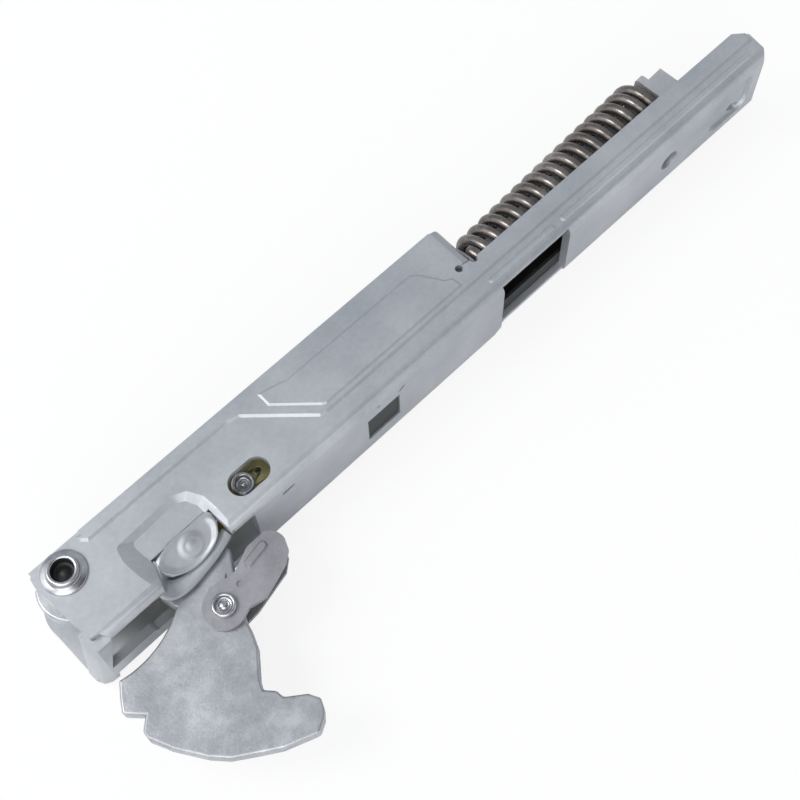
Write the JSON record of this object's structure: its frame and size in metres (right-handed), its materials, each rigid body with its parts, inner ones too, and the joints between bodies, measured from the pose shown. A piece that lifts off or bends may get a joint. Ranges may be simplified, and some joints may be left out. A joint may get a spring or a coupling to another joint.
{
  "type": "oven door hinge",
  "caption": "Sprung oven door hinge: a folded steel channel with a compression spring and tie rod, and a hooked arm with a lock lever.",
  "frame": {"origin": "on the outer face of the channel's web, across from the arm pivot, at mid height of the channel", "axes": "+X along the channel from the pivot end to the far end, +Y from the web's outer face into the channel, +Z to the wall with the access slot"},
  "size_m": [0.2023, 0.0603, 0.0258],
  "materials": {
    "channel_zinc": "bright zinc plate, satin",
    "arm_zinc": "mottled zinc plate",
    "rivet_steel": "bright zinc plate",
    "yellow_zinc": "yellow passivated zinc",
    "rod_steel": "plain zinc plate",
    "spring_steel": "dark phosphated spring wire",
    "cap_steel": "zinc plate",
    "liner_plastic": "matt black",
    "lever_steel": "dark zinc plate, smooth"
  },
  "bodies": {
    "channel": {"channel": "channel_zinc", "pivot_rivet": "rivet_steel", "pivot_bush_near": "rod_steel", "pivot_bush_far": "rod_steel", "spring_liner": "liner_plastic", "spring_seat": "rod_steel", "spring": "spring_steel"},
    "arm": {"arm": "arm_zinc", "crank_pin": "rod_steel", "lever_rivet": "rivet_steel", "lever_washer_near": "rod_steel", "lever_washer_far": "rod_steel"},
    "rod": {"tie_rod": "rod_steel", "yoke_near": "yellow_zinc", "yoke_far": "yellow_zinc", "joining_pin": "rivet_steel", "pin_washer_near": "rod_steel", "pin_washer_far": "rod_steel", "rod_pin": "rod_steel", "spring_end_cap": "cap_steel"},
    "lever": {"lock_lever": "lever_steel"}
  },
  "joints": [
    {"name": "arm_hinge", "type": "hinge", "parent": "channel", "child": "arm", "pos_m": [0, 0.016, 0.0012], "axis": [0, 0, -1], "range_deg": [0, 90], "stiffness_Nm_per_rad": 0.2, "springref_deg": -28.65},
    {"name": "rod_slide", "type": "slide", "parent": "channel", "child": "rod", "axis": [-0.9987, -0.0506, 0], "range_m": [0, 0.0085], "deforming": ["spring"]},
    {"name": "lever_hinge", "type": "hinge", "parent": "arm", "child": "lever", "pos_m": [0.0181, -0.0085, 0.0012], "axis": [0, 0, -1], "range_deg": [0, 90]}
  ],
  "couplings": [
    {"joint": "rod_slide", "follows": "arm_hinge", "m_per_rad": 0.005403}
  ]
}
